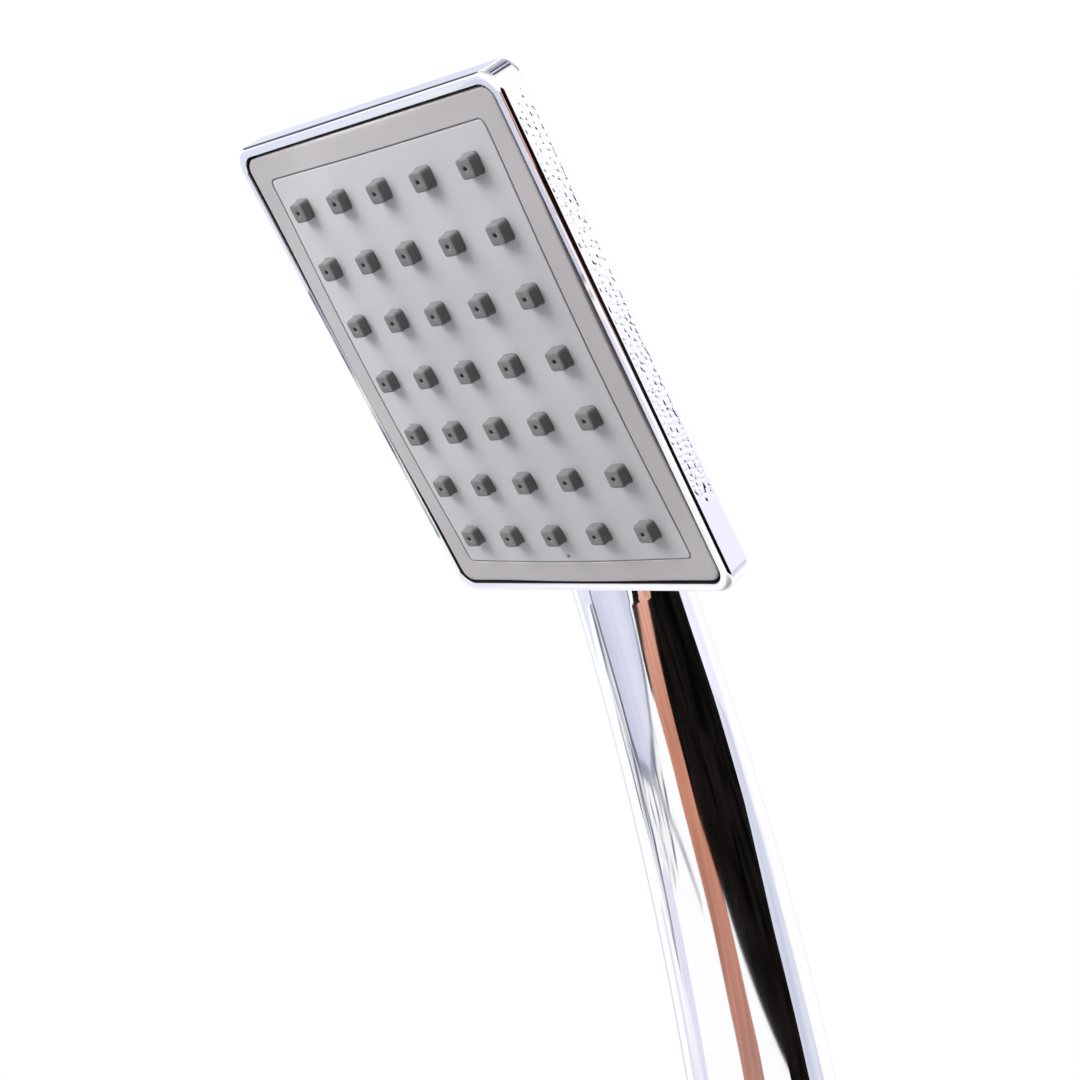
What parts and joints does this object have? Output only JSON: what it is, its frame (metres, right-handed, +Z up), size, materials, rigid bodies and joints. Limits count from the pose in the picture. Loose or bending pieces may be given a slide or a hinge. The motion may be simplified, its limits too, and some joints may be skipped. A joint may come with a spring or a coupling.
{
  "type": "hand shower",
  "caption": "Rectangular chrome hand shower with a grey square-nozzle spray face, curved oval handle and threaded inlet.",
  "frame": {"origin": "centre of the inlet's end face, at the bottom of the threaded inlet", "axes": "+Z up the handle's straight lower end, along the inlet thread; -Y to the side that the spray face looks; +X across the head"},
  "size_m": [0.0748, 0.0672, 0.2572],
  "materials": {
    "chrome": "polished chrome plating",
    "spray_plate": "satin grey moulded plastic",
    "nozzle_rubber": "matt grey silicone",
    "white_plastic": "moulded",
    "gasket_rubber": "matt",
    "screw_steel": "bright",
    "tube_plastic": "natural",
    "inlet_chrome": "chromed brass",
    "valve_plastic": "moulded",
    "valve_white": "moulded",
    "regulator_plastic": "moulded",
    "spring_steel": "drawn wire",
    "mesh_steel": "woven"
  },
  "bodies": {
    "handset": {"body_shell": "chrome", "face_plate": "spray_plate", "nozzle_mat": "nozzle_rubber", "jet_plate": "white_plastic", "chamber_gasket": "gasket_rubber", "chamber_cover": "white_plastic", "chamber_screws": "screw_steel", "mounting_screws": "screw_steel", "water_tube": "tube_plastic", "tube_oring_upper": "gasket_rubber", "tube_oring_lower": "gasket_rubber", "inlet_connector": "inlet_chrome", "connector_oring": "gasket_rubber", "check_valve_body": "valve_plastic", "check_valve_cage": "valve_white", "check_valve_spring": "spring_steel", "check_valve_oring": "gasket_rubber", "flow_regulator_body": "regulator_plastic", "flow_regulator_oring": "gasket_rubber", "filter_washer": "gasket_rubber", "filter_mesh": "mesh_steel"},
    "poppet": {"check_valve_poppet": "valve_white", "check_valve_seal": "gasket_rubber"}
  },
  "joints": [
    {"name": "check_valve_slide", "type": "slide", "parent": "handset", "child": "poppet", "axis": [0, 0, 1], "range_m": [0, 0.0025], "stiffness_N_per_m": 80, "springref_m": -0.002, "deforming": ["check_valve_spring"]}
  ]
}
